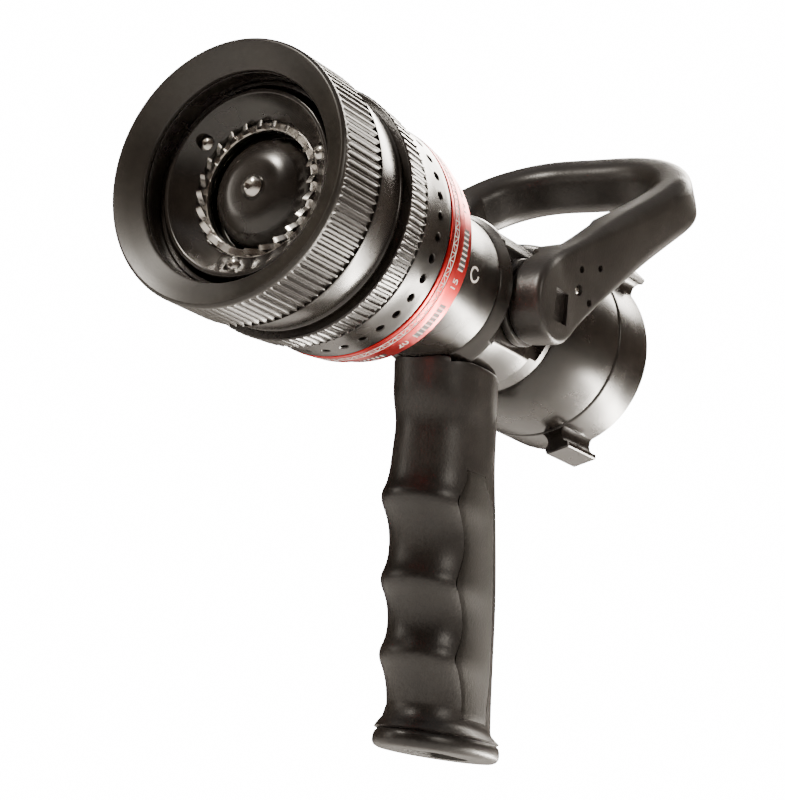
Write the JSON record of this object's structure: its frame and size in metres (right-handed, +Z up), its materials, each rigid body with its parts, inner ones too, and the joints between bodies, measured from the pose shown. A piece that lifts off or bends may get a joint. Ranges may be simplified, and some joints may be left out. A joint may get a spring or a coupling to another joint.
{
  "type": "fire hose nozzle",
  "caption": "Handheld fire hose nozzle with a turning stream sleeve and flow ring, sliding foam tube, bail-handled ball valve, pistol grip and swivel hose coupling.",
  "frame": {"origin": "centre of the swivel coupling's rear face, on the nozzle axis", "axes": "+Y along the nozzle axis toward the hose (the stream leaves toward -Y), +Z up, away from the pistol grip, +X across, along the bail pivot"},
  "size_m": [0.1032, 0.2384, 0.2336],
  "materials": {
    "black_anodised": "black hard anodised, satin",
    "red_anodised": "red anodised, satin",
    "stainless": "turned stainless",
    "black_plastic": "moulded, fine texture",
    "black_rubber": "satin moulded",
    "white_plastic": "machined, smooth"
  },
  "bodies": {
    "valve": {"valve_body": "black_anodised", "barrel": "black_anodised", "tailpiece": "black_anodised", "seat_front": "white_plastic", "seat_rear": "white_plastic", "shaper_oring": "black_rubber", "stem_spider": "stainless", "detent_ball": "stainless", "detent_spring": "stainless", "flow_ring_circlip": "stainless", "cam_pin_right": "stainless", "cam_pin_left": "stainless", "pistol_grip": "black_plastic", "grip_panel_right": "black_rubber", "grip_panel_left": "black_rubber", "grip_bolt": "stainless", "swivel_wire": "stainless"},
    "bail": {"bail_handle": "black_plastic", "trunnion_right": "stainless", "trunnion_left": "stainless", "pivot_spacer_right": "black_plastic", "pivot_spacer_left": "black_plastic", "bail_screw_right": "stainless", "bail_screw_left": "stainless", "ball": "stainless"},
    "coupling": {"swivel_coupling": "black_anodised", "gasket": "black_rubber"},
    "flow": {"flow_ring": "red_anodised"},
    "baffle": {"baffle_head": "black_anodised", "baffle_screw": "stainless", "baffle_stem": "stainless", "flow_pin": "stainless"},
    "guide": {"pattern_guide_ring": "white_plastic"},
    "pattern": {"pattern_sleeve": "black_anodised", "rear_grip_ring": "black_anodised", "stream_shaper": "black_anodised", "shaper_nose": "black_anodised", "tooth_ring": "stainless", "nose_screw_1": "stainless", "nose_screw_2": "stainless", "nose_screw_3": "stainless"},
    "foam": {"foam_tube": "black_anodised", "front_bumper": "black_rubber"}
  },
  "joints": [
    {"name": "bail_pivot", "type": "hinge", "parent": "valve", "child": "bail", "pos_m": [0, -0.074, 0], "axis": [1, 0, 0], "range_deg": [0, 90]},
    {"name": "coupling_swivel", "type": "hinge", "parent": "valve", "child": "coupling", "pos_m": [0, -0.02, 0], "axis": [0, 1, 0], "continuous": true},
    {"name": "flow_turn", "type": "hinge", "parent": "valve", "child": "flow", "pos_m": [0, -0.141, 0], "axis": [0, 1, 0], "range_deg": [0, 120]},
    {"name": "baffle_slide", "type": "slide", "parent": "valve", "child": "baffle", "axis": [0, 1, 0], "range_m": [0, 0.0019]},
    {"name": "pattern_slide", "type": "slide", "parent": "valve", "child": "guide", "axis": [0, -1, 0], "range_m": [0, 0.008]},
    {"name": "pattern_turn", "type": "hinge", "parent": "guide", "child": "pattern", "pos_m": [0, -0.17, 0], "axis": [0, 1, 0], "range_deg": [0, 150]},
    {"name": "foam_tube_slide", "type": "slide", "parent": "pattern", "child": "foam", "axis": [0, -1, 0], "range_m": [0, 0.02]}
  ],
  "couplings": [
    {"joint": "baffle_slide", "follows": "flow_turn", "m_per_rad": 0.000907},
    {"joint": "pattern_slide", "follows": "pattern_turn", "m_per_rad": 0.003055}
  ]
}
